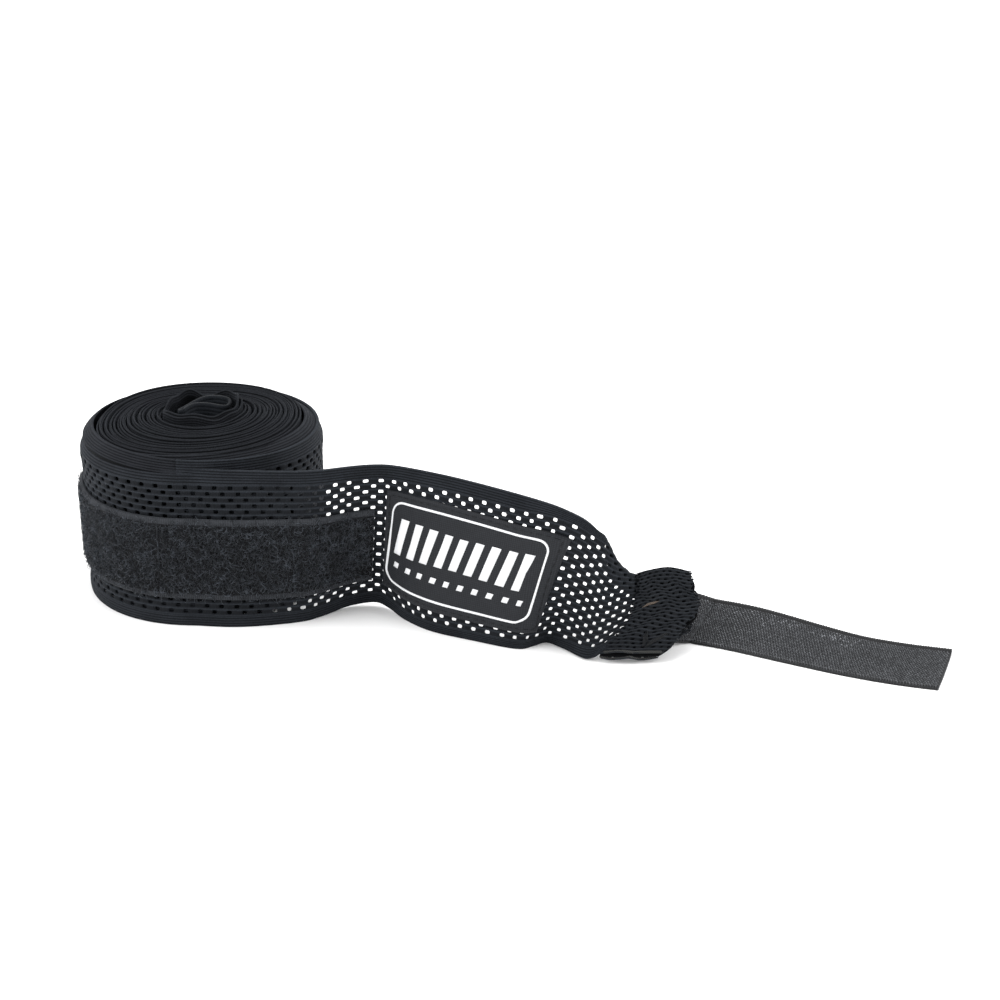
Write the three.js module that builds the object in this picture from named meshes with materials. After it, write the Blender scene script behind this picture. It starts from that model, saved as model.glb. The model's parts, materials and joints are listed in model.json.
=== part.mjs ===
// An elastic mesh hand wrap, rolled up and standing on its edge, with its free end laid out beside it.
// Millimetres, +Z up. The roll's axis is upright, and the free end leads off towards +X.
// Every sewn-on layer is placed on the band by its distance along it and its height above the lower edge.

import * as THREE from 'three';

// ---- Driving dimensions, mm and degrees ----

const BAND = { width: 50, thickness: 0.7 };
const ROLL = {
  radius: 37.3, // to the outer face of the last turn
  coreRadius: 11.5, // to the inner face of the first turn
  turns: 28.5,
  stepsPerTurn: 24,
  flatTurns: 0.8, // how much of the last turn stands level on its lower edge
  risenTurns: 1.1, // where the second turn has come up to its full height
  secondTurnRise: 3.4, // how far the second turn stands above the last one
  coreRise: 6.5, // the same at the core
};
const AIR = 0.3; // between faces that are sewn or laid together
const LOOP_TAPE = { width: 25, low: 9.2, thickness: 1.4, rollTurns: 0.5, end: 54 };
const SEAM = { width: 1.5, thickness: 0.3, inset: 0.4 };
const LABEL = { start: 61.5, end: 117.5, low: 5, height: 34, thickness: 0.5 };
const LABEL_SEAM = { inset: 1.2, width: 0.6 };
const HEM = { thickness: 3 };
const BAR_TACK = { along: 8, length: 5, share: 0.06, thickness: 0.5 }; // share of the hem's height
const BAR_TACK_AT = { lower: 0.2, upper: 0.7 };
const STRAP = { width: 24.5, thickness: 1.5 };
const STRAP_ROOT = { along: 9, from: 0.12, to: 0.9 }; // where it is sewn behind the hem
const THUMB_TACK = { length: 5, thickness: 0.5, height: 8 };
const THUMB_LOOP = { length: 14, depth: 6, wall: 1.2, height: 25, top: 57, x: 1, y: 3.2, turn: 22 };
const LEAD = { start: AIR, end: 56 };
const PANEL = { start: 59.5 };

// How many steps each layer is divided into, along the band and across it.
const STEPS = { tape: 14, label: 14, neck: 8, strapRoot: 6, strap: 16 };
const ROWS = { tape: 3, label: 4, hem: 4, strapRoot: 2, strap: 1 };

// The free end's two edges, from where it leaves the roll to where its end is folded up:
// distance along the band, then the lower and the upper edge's points.
const FREE_END = [
  { along: 0, low: [0, -36.95, 0], high: [0, -36.95, 50] },
  { along: 14, low: [14, -38.1, 0], high: [14, -38.1, 50] },
  { along: 32, low: [31, -35.4, 0], high: [32, -38.2, 50] },
  { along: 40, low: [38, -31.2, 0.1], high: [40, -37.4, 50] },
  { along: 50, low: [46, -25, 0.9], high: [49, -35.2, 50] },
  { along: 57.5, low: [53.8, -24, 1.6], high: [57, -33.4, 49.9] },
  { along: 62.5, low: [58.5, -26.8, 0.8], high: [61.5, -33.6, 49.7] },
  { along: 71, low: [64, -33.8, 0], high: [68.5, -36.4, 49.6] },
  { along: 82, low: [72, -41.4, 0], high: [78.5, -41.4, 49.4] },
  { along: 96, low: [84, -47.4, 0], high: [90.5, -48.6, 49] },
  { along: 110.5, low: [97, -52.9, 0], high: [103, -56.4, 48.3] },
  { along: 117.5, low: [102, -51.2, 0.2], high: [110, -60, 47] },
  { along: 124, low: [106, -49, 0.2], high: [117, -60, 43.2] },
  { along: 131, low: [111, -53.3, 0.25], high: [122, -56.8, 37] },
  { along: 141, low: [116.5, -59.6, 0.25], high: [127, -51.2, 29] },
  { along: 147, low: [120.6, -59.4, 0.25], high: [129.8, -47, 23.6] },
];

// The folded end leans back from its lower edge. The last row's bulge is its rounded outer corner.
const FOLDED_END = [
  { along: 0, low: [124, -58.4, 1.5], high: [132.2, -44.2, 20.6], bulge: 0 },
  { along: 8, low: [131.5, -59.4, 1.5], high: [138.4, -38.6, 19.8], bulge: 1.5 },
  { along: 16, low: [138.6, -59.4, 1.5], high: [144.4, -36.4, 17.6], bulge: 5.5 },
];

// The front edge of the hook strap where it lies on the floor, and how far its rear edge is tipped up.
const STRAP_FRONT = [
  [148.6, -49.9], [160, -54.9], [175, -62.8], [190.5, -70.6], [204, -76], [215.7, -79.4],
];
const STRAP_TIP_UP = { root: 6, end: 3.5 };

// ---- Small helpers ----

const radians = THREE.MathUtils.degToRad;
const vector = ([x, y, z = 0]) => new THREE.Vector3(x, y, z);
const curve = (points) => new THREE.CatmullRomCurve3(points, false, 'catmullrom', 0.5);
const steps = (from, to, count) =>
  Array.from({ length: count + 1 }, (_, i) => from + ((to - from) * i) / count);

// A closed solid through cross-sections, each one { near: [points], far: [points] } from low to high.
// A ring joins its last section to its first one, and anything else gets flat ends.
function solidThrough(sections, ring = false) {
  const rows = sections[0].near.length;
  const around = 2 * rows;
  const corners = sections.flatMap(({ near, far }) => [...far, ...near.slice().reverse()]);
  const faces = [];
  const quad = (a, b, c, d) => faces.push(a, b, c, a, c, d);
  const spans = ring ? sections.length : sections.length - 1;
  for (let i = 0; i < spans; i++) {
    const here = i * around;
    const next = ((i + 1) % sections.length) * around;
    for (let j = 0; j < around; j++) {
      const k = (j + 1) % around;
      quad(here + j, next + j, next + k, here + k);
    }
  }
  if (!ring) {
    const last = (sections.length - 1) * around;
    for (let j = 0; j < rows - 1; j++) {
      const opposite = around - 1 - j;
      quad(j, j + 1, opposite - 1, opposite);
      quad(last + opposite, last + opposite - 1, last + j + 1, last + j);
    }
  }
  const geometry = new THREE.BufferGeometry();
  const positions = corners.flatMap((p) => p.toArray());
  geometry.setAttribute('position', new THREE.Float32BufferAttribute(positions, 3));
  geometry.setIndex(pointsOut(corners, faces) ? faces : faces.reverse());
  geometry.computeVertexNormals();
  return geometry;
}

function pointsOut(corners, faces) {
  const cross = new THREE.Vector3();
  let volume = 0;
  for (let i = 0; i < faces.length; i += 3) {
    cross.crossVectors(corners[faces[i + 1]], corners[faces[i + 2]]);
    volume += corners[faces[i]].dot(cross);
  }
  return volume > 0;
}

// ---- The band's middle surface ----

// A point on the roll, so many turns back from where the free end leaves it.
const pitch = (ROLL.radius - ROLL.coreRadius - BAND.thickness) / ROLL.turns;

function riseOf(turn) {
  if (turn <= ROLL.flatTurns) return 0;
  const second = ROLL.secondTurnRise * THREE.MathUtils.smoothstep(turn, ROLL.flatTurns, ROLL.risenTurns);
  const inward = Math.max(0, (turn - ROLL.risenTurns) / (ROLL.turns - ROLL.risenTurns));
  return second + inward * (ROLL.coreRise - ROLL.secondTurnRise);
}

function onRoll(turn, height) {
  const angle = -Math.PI / 2 - 2 * Math.PI * turn;
  const out = new THREE.Vector3(Math.cos(angle), Math.sin(angle), 0);
  const radius = ROLL.radius - BAND.thickness / 2 - pitch * turn;
  const point = out.clone().multiplyScalar(radius).setZ(riseOf(turn) + height);
  return { point, out };
}

// A surface ruled between a lower and an upper edge, found by the distance along it.
function ruledSurface(rows, width) {
  const low = curve(rows.map((row) => vector(row.low)));
  const high = curve(rows.map((row) => vector(row.high)));
  const position = (along) => {
    const next = Math.max(1, rows.findIndex((row) => row.along >= along));
    const [a, b] = [rows[next - 1].along, rows[next].along];
    return (next - 1 + (along - a) / (b - a)) / (rows.length - 1);
  };
  return (along, height) => {
    const at = position(along);
    const [a, b] = [low.getPoint(at), high.getPoint(at)];
    const across = b.clone().sub(a);
    const tangent = low.getTangent(at).lerp(high.getTangent(at), height / width);
    const out = tangent.cross(across).normalize();
    return { point: a.addScaledVector(across, height / width), out };
  };
}

const onFreeEnd = ruledSurface(FREE_END, BAND.width);
const onFoldedEnd = ruledSurface(FOLDED_END, 1);

// A layer of cloth that follows a surface: from one face to the other, measured out from its middle.
function layer(surface, places, heights, near, far) {
  return solidThrough(places.map((place) => {
    const frames = heights.map((height) => surface(place, height));
    const face = (offset) => frames.map(({ point, out }) => point.clone().addScaledVector(out, offset));
    return { near: face(near), far: face(far) };
  }));
}

const bandFace = BAND.thickness / 2;
const tapeBack = bandFace + AIR;
const tapeFace = tapeBack + LOOP_TAPE.thickness;
const rollStart = AIR / (2 * Math.PI * ROLL.radius); // the turn at which the roll meets the free end

// ---- The sub-parts ----

// The whole wound length, from the core to where the free end leaves.
function rolledBand() {
  const count = ROLL.turns * ROLL.stepsPerTurn;
  const places = steps(0, ROLL.turns, count);
  places[0] = rollStart;
  return layer(onRoll, places, [0, BAND.width], -bandFace, bandFace);
}

// A sewn layer and the band under it share their cross-sections, so that their facets stay parallel.
const tapeRows = steps(LOOP_TAPE.low, LOOP_TAPE.low + LOOP_TAPE.width, ROWS.tape);
const tapeLead = steps(LEAD.start, LOOP_TAPE.end, STEPS.tape);
const labelRows = steps(LABEL.low, LABEL.low + LABEL.height, ROWS.label);
const labelPlaces = steps(LABEL.start, LABEL.end, STEPS.label);
const necks = steps(LABEL.end, FREE_END.at(-1).along, STEPS.neck).slice(1);
const tapeTurns = steps(0, LOOP_TAPE.rollTurns, LOOP_TAPE.rollTurns * ROLL.stepsPerTurn);
tapeTurns[0] = rollStart;

const seamRows = {
  lower: tapeRows[0] + SEAM.inset,
  upper: tapeRows.at(-1) - SEAM.inset - SEAM.width,
};

function tapeSeam(surface, places, height) {
  const near = tapeFace + AIR;
  return layer(surface, places, [height, height + SEAM.width], near, near + SEAM.thickness);
}

function label() {
  const back = bandFace + AIR;
  return layer(onFreeEnd, labelPlaces, labelRows, back, back + LABEL.thickness);
}

// One line of thread all round the label, near its edge.
function labelStitching() {
  const near = bandFace + AIR + LABEL.thickness + AIR;
  const far = near + SEAM.thickness;
  const { inset, width } = LABEL_SEAM;
  const [left, right] = [LABEL.start + inset, LABEL.end - inset];
  const [bottom, top] = [LABEL.low + inset, LABEL.low + LABEL.height - inset];
  const sides = [left, ...labelPlaces.slice(1, -1), right];
  const path = [
    ...sides.slice(0, -1).map((x) => [x, bottom, 0, 1]),
    [right, bottom, -1, 1],
    ...labelRows.slice(1, -1).map((y) => [right, y, -1, 0]),
    [right, top, -1, -1],
    ...sides.slice(1, -1).reverse().map((x) => [x, top, 0, -1]),
    [left, top, 1, -1],
    ...labelRows.slice(1, -1).reverse().map((y) => [left, y, 1, 0]),
  ];
  path[0][2] = 1;
  return solidThrough(path.map(([along, height, inX, inY]) => {
    const outer = onFreeEnd(along, height);
    const inner = onFreeEnd(along + inX * width, height + inY * width);
    const face = (offset) =>
      [outer, inner].map(({ point, out }) => point.clone().addScaledVector(out, offset));
    return { near: face(near), far: face(far) };
  }), true);
}

// The band's end, folded in three along its length, as one thick pad with a rounded outer corner.
function foldedEnd(along, height) {
  const { point, out } = onFoldedEnd(along, height);
  const next = FOLDED_END.findIndex((row) => row.along >= along);
  const bulge = FOLDED_END[next].bulge * Math.sin(Math.PI * height);
  point.x += bulge;
  return { point, out };
}

const foldHeights = steps(0, 1, ROWS.hem);
const foldPlaces = FOLDED_END.map((row) => row.along);
const foldHalf = HEM.thickness / 2;

// A bar tack: a short, thick run of thread across the folded end.
function barTack(height) {
  const near = foldHalf + AIR;
  const places = steps(BAR_TACK.along - BAR_TACK.length / 2, BAR_TACK.along + BAR_TACK.length / 2, 2);
  return layer(foldedEnd, places, [height, height + BAR_TACK.share], near, near + BAR_TACK.thickness);
}

// The strap's free length, and its sewn root, which turns from the folded end's back down to the floor.
const strapFront = curve(STRAP_FRONT.map((p) => vector([...p, STRAP.thickness / 2])));

function strapEdges(at) {
  const front = strapFront.getPoint(at);
  const ahead = strapFront.getTangent(at);
  const across = new THREE.Vector3(-ahead.y, ahead.x, 0);
  const tip = radians(THREE.MathUtils.lerp(STRAP_TIP_UP.root, STRAP_TIP_UP.end, at));
  across.multiplyScalar(Math.cos(tip)).setZ(Math.sin(tip));
  return { front, rear: front.clone().addScaledVector(across, STRAP.width), ahead };
}

function onStrap(at, height) {
  const { front, rear, ahead } = strapEdges(at);
  const across = rear.clone().sub(front);
  const out = ahead.clone().cross(across).normalize();
  return { point: front.addScaledVector(across, height), out };
}

function onStrapRoot(at, height) {
  const start = foldedEnd(STRAP_ROOT.along, THREE.MathUtils.lerp(STRAP_ROOT.from, STRAP_ROOT.to, height));
  const behind = foldHalf + 2 * AIR + STRAP.thickness / 2;
  const sewn = start.point.clone().addScaledVector(start.out, -behind);
  const root = onStrap(0, height);
  const back = root.point.clone().addScaledVector(strapEdges(0).ahead, -2 * AIR);
  return { point: sewn.lerp(back, at), out: start.out.clone().lerp(root.out, at).normalize() };
}

const strapHalf = STRAP.thickness / 2;

// A flattened closed loop of narrow tape, standing in the core of the roll.
function thumbLoop() {
  const stadium = (length, depth) => {
    const radius = depth / 2;
    const straight = (length - depth) / 2;
    const outline = new THREE.Shape();
    outline.absarc(straight, 0, radius, -Math.PI / 2, Math.PI / 2);
    outline.absarc(-straight, 0, radius, Math.PI / 2, (3 * Math.PI) / 2);
    return outline;
  };
  const { length, depth, wall, height } = THUMB_LOOP;
  const outline = stadium(length, depth);
  outline.holes.push(stadium(length - 2 * wall, depth - 2 * wall));
  return new THREE.ExtrudeGeometry(outline, { depth: height, bevelEnabled: false, curveSegments: 8 });
}

function thumbLoopBarTack() {
  const { length, thickness, height } = THUMB_TACK;
  const behind = THUMB_LOOP.depth / 2 - THUMB_LOOP.wall - AIR - thickness / 2;
  return new THREE.BoxGeometry(length, thickness, height).translate(0, behind, THUMB_LOOP.height / 2);
}

// ---- Materials and assembly ----

const finish = (color, roughness) => new THREE.MeshStandardMaterial({ color, roughness, metalness: 0 });
const MATERIALS = {
  mesh: finish(0x1b1c1f, 0.85),
  pile: finish(0x24282c, 0.95),
  thread: finish(0x202226, 0.7),
  satin: finish(0x17181b, 0.5),
  hook: finish(0x4a4c50, 0.6),
};

const model = new THREE.Group();
const add = (name, geometry, material, parent = model) => {
  const mesh = new THREE.Mesh(geometry, material);
  mesh.name = name;
  parent.add(mesh);
};

add('rolled_band', rolledBand(), MATERIALS.mesh);
add('loop_tape_on_roll', layer(onRoll, tapeTurns, tapeRows, tapeBack, tapeFace), MATERIALS.pile);
add('loop_tape_on_lead', layer(onFreeEnd, tapeLead, tapeRows, tapeBack, tapeFace), MATERIALS.pile);
for (const [side, height] of Object.entries(seamRows)) {
  add(`loop_tape_${side}_seam_on_roll`, tapeSeam(onRoll, tapeTurns, height), MATERIALS.thread);
  add(`loop_tape_${side}_seam_on_lead`, tapeSeam(onFreeEnd, tapeLead, height), MATERIALS.thread);
}

const edges = (rows) => [0, ...rows, BAND.width];
const leadPlaces = [...tapeLead, LEAD.end];
const panelPlaces = [PANEL.start, ...labelPlaces, ...necks];
add('band_lead', layer(onFreeEnd, leadPlaces, edges(tapeRows), -bandFace, bandFace), MATERIALS.mesh);
add('band_panel', layer(onFreeEnd, panelPlaces, edges(labelRows), -bandFace, bandFace), MATERIALS.mesh);
add('label', label(), MATERIALS.satin);
add('label_stitching', labelStitching(), MATERIALS.thread);

add('band_folded_end', layer(foldedEnd, foldPlaces, foldHeights, -foldHalf, foldHalf), MATERIALS.mesh);
for (const [side, height] of Object.entries(BAR_TACK_AT)) {
  add(`bar_tack_${side}`, barTack(height), MATERIALS.thread);
}
const strapPart = (surface, count, rows) =>
  layer(surface, steps(0, 1, count), steps(0, 1, rows), -strapHalf, strapHalf);
add('hook_strap_root', strapPart(onStrapRoot, STEPS.strapRoot, ROWS.strapRoot), MATERIALS.hook);
add('hook_strap', strapPart(onStrap, STEPS.strap, ROWS.strap), MATERIALS.hook);

const core = new THREE.Group();
core.position.set(THUMB_LOOP.x, THUMB_LOOP.y, THUMB_LOOP.top - THUMB_LOOP.height);
core.rotation.z = radians(THUMB_LOOP.turn);
model.add(core);
add('thumb_loop', thumbLoop(), MATERIALS.mesh, core);
add('thumb_loop_bar_tack', thumbLoopBarTack(), MATERIALS.thread, core);

// The origin is the middle of the underside of the box that holds everything.
const box = new THREE.Box3().setFromObject(model);
const centre = box.getCenter(new THREE.Vector3());
model.position.set(-centre.x, -centre.y, -box.min.z);

export default model;
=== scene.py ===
"""The looks of a rolled elastic mesh hand wrap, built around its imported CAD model.

The design functions work in millimetres in the wrap's own frame, whose origin is on the roll's axis at the
floor. X runs along the free end, Y away from the side that shows the label, Z up. to_row() turns that into
the frame's metres. Cloth is laid out flat first, by its distance along the band (u) and its height above the
band's lower edge (v), and a surface function then says where each flat point is and which way is out.
"""

import json
import math

import bpy
import numpy as np
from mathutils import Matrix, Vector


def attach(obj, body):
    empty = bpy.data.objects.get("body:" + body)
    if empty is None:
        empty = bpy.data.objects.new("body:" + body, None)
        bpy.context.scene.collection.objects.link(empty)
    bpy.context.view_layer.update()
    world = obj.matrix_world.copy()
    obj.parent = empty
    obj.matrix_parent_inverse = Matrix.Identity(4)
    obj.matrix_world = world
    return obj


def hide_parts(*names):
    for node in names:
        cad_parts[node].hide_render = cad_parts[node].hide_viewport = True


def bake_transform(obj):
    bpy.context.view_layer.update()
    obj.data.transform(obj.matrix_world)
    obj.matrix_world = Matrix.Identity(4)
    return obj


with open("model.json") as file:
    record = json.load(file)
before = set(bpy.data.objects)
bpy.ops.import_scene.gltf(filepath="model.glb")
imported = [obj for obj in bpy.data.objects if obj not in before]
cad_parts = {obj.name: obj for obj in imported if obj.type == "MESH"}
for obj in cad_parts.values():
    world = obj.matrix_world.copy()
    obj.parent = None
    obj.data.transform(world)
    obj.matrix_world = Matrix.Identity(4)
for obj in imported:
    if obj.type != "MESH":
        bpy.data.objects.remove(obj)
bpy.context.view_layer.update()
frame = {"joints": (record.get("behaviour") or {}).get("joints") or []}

MM = 0.001
JOINTS = {joint["name"]: joint for joint in frame["joints"]}
PEEL_LOCAL = np.array([0, -39.6, 25])  # where the peel_from_roll joint is in the wrap's own frame
SHIFT = np.array(JOINTS["peel_from_roll"]["pos_m"]) - PEEL_LOCAL * MM

# ---- Driving dimensions, millimetres ----

BAND_WIDTH = 50.0
BAND_HALF = 0.32  # half the cloth's thickness
NET_LOW, NET_HIGH = 3.6, 45.8  # the net lies between a narrow lower and a wide upper selvage
RIB = 0.8  # from one lengthwise rib of a selvage to the next
HOLE_PITCH = 4.46  # between two holes of one row
HOLE_ROWS = 22
HOLE_HALF = (0.84, 0.68)  # half a hole's length and height
ROW_HEIGHT = (NET_HIGH - NET_LOW) / HOLE_ROWS

ROLL_RADIUS = 36.95  # to the middle of the last turn's cloth
TURNS = 28.5
PITCH = 0.8807  # from one turn to the next
TIGHT_PITCH = 0.66  # where the turns lie pressed together
CORE_LOSS = PITCH * TURNS

TAPE_LOW = 9.1
TAPE_WIDTH = 25.8
TAPE_START = -116.0  # half a turn back round the roll
TAPE_END = 56.2
TAPE_BORDER = 1.7
WHIP_PITCH = 0.66  # from one stitch of the whipped border to the next
LABEL_START, LABEL_LOW = 60.3, 8.0
LABEL_LONG, LABEL_HEIGHT = 57.0, 34.2
LABEL_TILT = -0.025  # the label is sewn on a little askew: how much it rises for each millimetre along
STRAP_WIDTH = 24.5

# Where the band is cut into pieces, in holes from where the free end leaves the roll.
CUT_TURN, CUT_LEAD, CUT_PANEL, CUT_NECK, CUT_END = -52, -2, 13, 26, 33

FREE_END = [  # distance along, then the lower and the upper edge
    (0, (0, -36.95, 0), (0, -36.95, 50)),
    (14, (14, -38.1, 0), (14, -38.1, 50)),
    (32, (31, -35.4, 0), (32, -38.2, 50)),
    (40, (38, -31.2, 0.1), (40, -37.4, 50)),
    (50, (46, -25, 0.9), (49, -35.2, 50)),
    (57.5, (53.8, -24, 1.6), (57, -33.4, 49.9)),
    (62.5, (58.5, -26.8, 0.8), (61.5, -33.6, 49.7)),
    (71, (64, -33.8, 0), (68.5, -36.4, 49.6)),
    (82, (72, -41.4, 0), (78.5, -41.4, 49.4)),
    (96, (84, -47.4, 0), (90.5, -48.6, 49)),
    (110.5, (97, -52.9, 0), (103, -56.4, 48.3)),
    (117.5, (102, -51.2, 0.2), (110, -60, 47)),
    (122.5, (106, -49, 0.2), (117, -60, 43.2)),
    (127.7, (111, -53.3, 0.25), (122, -56.8, 37)),
    (134.4, (116.5, -59.6, 0.25), (126.6, -51, 27)),
    (138.9, (119.4, -61.2, 1.2), (129.6, -46.5, 22)),
    (142.9, (123, -61.4, 3.6), (132.6, -42.4, 18.7)),
    (149.4, (130.4, -61.2, 3.8), (139, -39.6, 19.2)),
]
NECK_FROM, NECK_TO = 118, 139.5  # where the band is gathered
NECK_FOLD = 0.27  # how much of the neck's height is folded down behind, at the folded end
NECK_FOLD_RADIUS = 1.05
NECK_FOLD_TURN = 0.12  # the share of the height that goes round that fold
FOLDED_END = [  # distance along the folded end, its lower and upper edge, and its outward bulge
    (0, (120.2, -63.2, 2.2), (132.2, -42.8, 18.5), 3.6),
    (6, (125.8, -63.7, 2.2), (136.9, -40.6, 18.8), 3.8),
    (12, (131.9, -63.8, 2.2), (142.4, -39.8, 18.8), 5),
    (18, (137.6, -63.2, 2.2), (148, -41.3, 18.5), 6.6),
]
HEM_LENGTH, HEM_HEIGHT = 18.0, 27.5
HEM_PITCH, HEM_ROW = 2.25, 1.12  # the folded net is squeezed together
HEM_HOLE = (0.56, 0.27)
HEM_FOLD = 1.5  # radius of the fold over the top
HEM_ROWS = 2 * round(HEM_HEIGHT / HEM_ROW)
HEM_TOP = HEM_ROWS * HEM_ROW / 2
STRAP_FRONT = [  # distance along the strap, then where its front edge is
    (0, 148.6, -49.9), (12.4, 160, -54.9), (29.4, 175, -62.8), (46.7, 190.5, -70.6),
    (61.3, 204, -76), (73.5, 215.7, -79.4), (80.5, 222.4, -81.2),
]
STRAP_TIP_UP = 6  # degrees that the rear edge is tipped up at the root; the far end lies flat
STRAP_SKEW = 0.09  # the far end is cut askew: how much longer the strap is for each millimetre across
STRAP_THICKNESS = 1.5


# ---- Small helpers ----


def smooth(value, low=0.0, high=1.0):
    """0 below low, 1 above high, and an even turn between them."""
    t = np.clip((np.asarray(value, float) - low) / (high - low), 0, 1)
    return t * t * (3 - 2 * t)


def bump_at(value, centre, width):
    """1 at the centre, falling to 0 a width away."""
    return np.exp(-(((np.asarray(value, float) - centre) / width) ** 2))


def steps(low, high, spacing):
    """Evenly spread values from low to high, about a spacing apart."""
    return np.linspace(low, high, round((high - low) / spacing) + 1)


def unit(vectors):
    return vectors / np.maximum(np.linalg.norm(vectors, axis=-1, keepdims=True), 1e-9)


def to_row(points):
    return np.asarray(points, float) * MM + SHIFT


def catmull_rom(points, at):
    """Points and tangents of a curve through the points; at runs from 0 to 1."""
    points = np.asarray(points, float)
    ends = np.vstack([2 * points[0] - points[1], points, 2 * points[-1] - points[-2]])
    place = np.clip(at, 0, 1) * (len(points) - 1)
    start = np.minimum(place.astype(int), len(points) - 2)
    t = (place - start)[:, None]
    before, a, b, after = (ends[start + k] for k in range(4))
    slope_a, slope_b = (b - before) / 2, (after - a) / 2
    point = (2 * t**3 - 3 * t**2 + 1) * a + (t**3 - 2 * t**2 + t) * slope_a
    point = point + (3 * t**2 - 2 * t**3) * b + (t**3 - t**2) * slope_b
    tangent = (6 * t**2 - 6 * t) * (a - b) + (3 * t**2 - 4 * t + 1) * slope_a
    tangent = tangent + (3 * t**2 - 2 * t) * slope_b
    return point, tangent


# ---- Surfaces: (u, v) to a point and the direction out ----


def turn_of(u):
    """How many turns back from the free end a distance along the band is, where u is below 0."""
    length = np.maximum(-np.asarray(u, float), 0)
    return (ROLL_RADIUS - np.sqrt(ROLL_RADIUS**2 - PITCH * length / math.pi)) / PITCH


def wound(turn):
    """The length of band from the free end back to a turn: the inverse of turn_of."""
    return math.pi * (ROLL_RADIUS**2 - (ROLL_RADIUS - PITCH * turn) ** 2) / PITCH


def around(angle, centre, spread):
    """1 on the side of the roll that centre names, in degrees, falling to 0 a spread away."""
    return bump_at((np.degrees(angle) - centre + 180) % 360, 180, spread)


# Loose places: the turn where each opens, its width in millimetres, its side and its spread in degrees.
LOOSE_PLACES = [
    (2.25, 5.0, 0, 52),
    (1.95, 4.6, 172, 50),
    (6.3, 0.5, 120, 60),
    (9.4, 0.7, 200, 60),
    (13.2, 0.7, 20, 50),
    (17.3, 0.6, 150, 70),
    (20.4, 0.9, 170, 60),
    (23.4, 0.6, 40, 70),
]


def loss_of(turn, angle):
    """How far inside the last turn a turn lies."""
    loss = TIGHT_PITCH * turn
    total = TIGHT_PITCH * TURNS
    for opens, width, side, spread in LOOSE_PLACES:
        here = width * around(angle, side, spread)
        loss = loss + here * smooth(turn, opens - 0.25, opens + 0.25)
        total = total + here
    return loss + (CORE_LOSS - total) * turn / TURNS


def collar_of(turn):
    """1 on the stretch of the second turn whose upper selvage is tipped over the roll's top."""
    return smooth(turn, 1.0, 1.22) * (1 - smooth(turn, 1.85, 2.1))


def rise_of(turn, angle):
    """How high a turn's lower edge stands: level on the last turn, then a low cone towards the core."""
    second = (3.4 - 1.3 * around(angle, 90, 60)) * smooth(turn, 0.72, 1.12)
    second = second + 1.1 * collar_of(turn)
    inward = np.maximum(0, (turn - 1.1) / (TURNS - 1.1)) * 1.2
    slack = 1.1 * smooth(turn, 0.1, 0.4) * (1 - smooth(turn, 0.6, 0.9))
    rim = 2.0 * smooth(turn, 26.3, 26.9) * (1 + 0.35 * np.sin(3 * angle + 0.6) + 0.2 * np.sin(7 * angle))
    rim = rim * (1 + 0.9 * around(angle, 90, 70))
    uneven = 0.3 * np.sin(turn * 2.3) + 0.22 * np.sin(turn * 5.9 + 1) + 0.2 * np.sin(turn * 12.7 + 2)
    return second + inward + slack + rim + uneven * smooth(turn, 1.2, 2)


def on_roll(turn, v):
    """The roll, by its turns, counted from the outside, and the flat height."""
    angle = -math.pi / 2 - 2 * math.pi * turn
    radius = ROLL_RADIUS - loss_of(turn, angle)
    core = smooth(turn, 24.5, 28)
    radius = radius + core * (0.7 * np.sin(2 * angle + 0.4) + 0.35 * np.sin(5 * angle + turn))
    radius = radius - core * 0.85 * (1 + np.cos(2 * angle))
    top = smooth(v, 43.5, 50)
    collar = collar_of(turn)
    inwards = top**1.3 * 1.2 * (1 - smooth(turn, 0.5, 1.2))
    inwards = inwards + np.clip((v - 45.2) / 4.8, 0, 1) ** 1.35 * collar * (2.9 + 0.8 * around(angle, 0, 60))
    radius = radius - inwards
    radius = radius + 0.45 * (bump_at(v, 45.5, 3) + bump_at(v, 1.5, 3)) * (1 - smooth(turn, 0.7, 1.0))
    radius = radius + 0.22 * top * np.sin(turn * 9.1 + 1.7) * smooth(turn, 1.2, 2)
    out = np.stack([np.cos(angle), np.sin(angle), np.zeros_like(angle)], -1)
    point = out * radius[:, None]
    point[:, 1] += 1.7 * smooth(turn, 6, 28)
    point[:, 2] = v + rise_of(turn, angle) - 0.42 * inwards * collar
    return point, out


def ruled(rows, u, v):
    """A surface ruled between a lower and an upper edge; v runs from 0 to 1."""
    at = np.interp(u, [row[0] for row in rows], np.arange(len(rows))) / (len(rows) - 1)
    low, low_along = catmull_rom([row[1] for row in rows], at)
    high, high_along = catmull_rom([row[2] for row in rows], at)
    across = high - low
    share = v[:, None]
    out = unit(np.cross(low_along * (1 - share) + high_along * share, across))
    return low + across * share, out


def share_of(u, v):
    """How far across the band a flat height is; the selvages' shares vary along the free end."""
    low = NET_LOW / BAND_WIDTH - 0.018 * smooth(u, 58, 74) + 0.05 * smooth(u, NECK_FROM, NECK_TO)
    high = NET_HIGH / BAND_WIDTH + 0.03 * smooth(u, 104, 122)
    net = low + (v - NET_LOW) / (NET_HIGH - NET_LOW) * (high - low)
    upper = high + (v - NET_HIGH) / (BAND_WIDTH - NET_HIGH) * (1 - high)
    return np.where(v < NET_LOW, v / NET_LOW * low, np.where(v > NET_HIGH, upper, net))


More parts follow.
